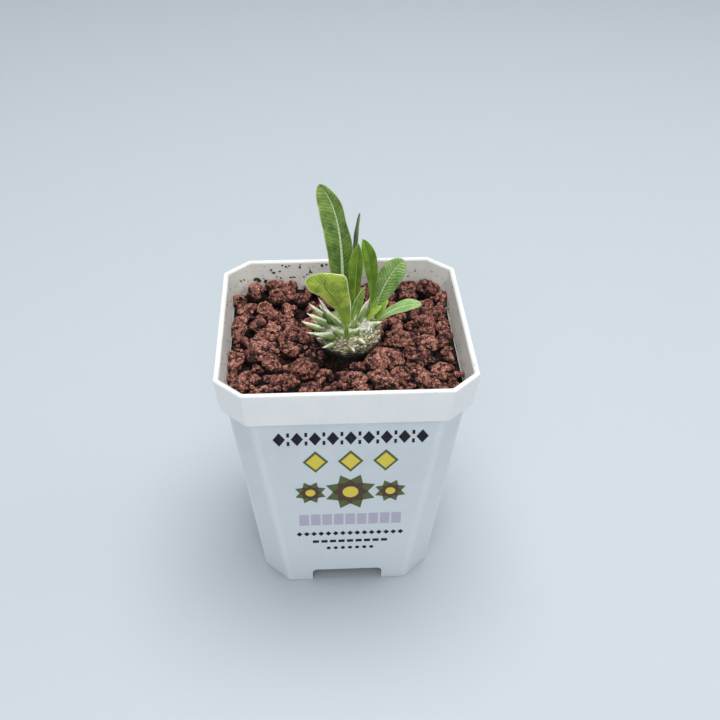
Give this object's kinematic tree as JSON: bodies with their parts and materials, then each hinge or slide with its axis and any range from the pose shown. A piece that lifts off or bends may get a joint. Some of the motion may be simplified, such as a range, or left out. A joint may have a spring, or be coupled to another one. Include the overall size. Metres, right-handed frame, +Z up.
{
  "type": "potted pachypodium brevicaule",
  "caption": "Small caudex succulent with a spiny, squat stem and upright leaves, in a square tapered plastic pot filled with porous lava gravel.",
  "frame": {"origin": "the middle of the plane that the pot's feet stand on", "axes": "+Z up, along the plant; -Y towards the pot's printed front; +X to the plant's right as seen from the front"},
  "size_m": [0.07, 0.07, 0.1147],
  "materials": {
    "pot_plastic": "white injection-moulded plastic with a soft sheen, scuffed and soil-specked",
    "lava_gravel": "rough, porous, red-brown lava grit",
    "caudex_bark": "fissured pale grey-green skin, dark below, with cream spines",
    "leaf_blade": "satin green leaf with a pale midrib and side veins",
    "print_ink": "thin flat print on the pot's front"
  },
  "bodies": {
    "root": {"pot": "pot_plastic", "lava_gravel": "lava_gravel", "caudex": "caudex_bark", "leaf_tall_back": "leaf_blade", "leaf_front_left": "leaf_blade", "leaf_centre": "leaf_blade", "leaf_arched": "leaf_blade", "leaf_broad_right": "leaf_blade", "leaf_low_right": "leaf_blade", "leaf_narrow_back": "leaf_blade", "leaf_young_right": "leaf_blade", "leaf_young_centre": "leaf_blade", "leaf_tiny_front": "leaf_blade"}
  },
  "joints": []
}
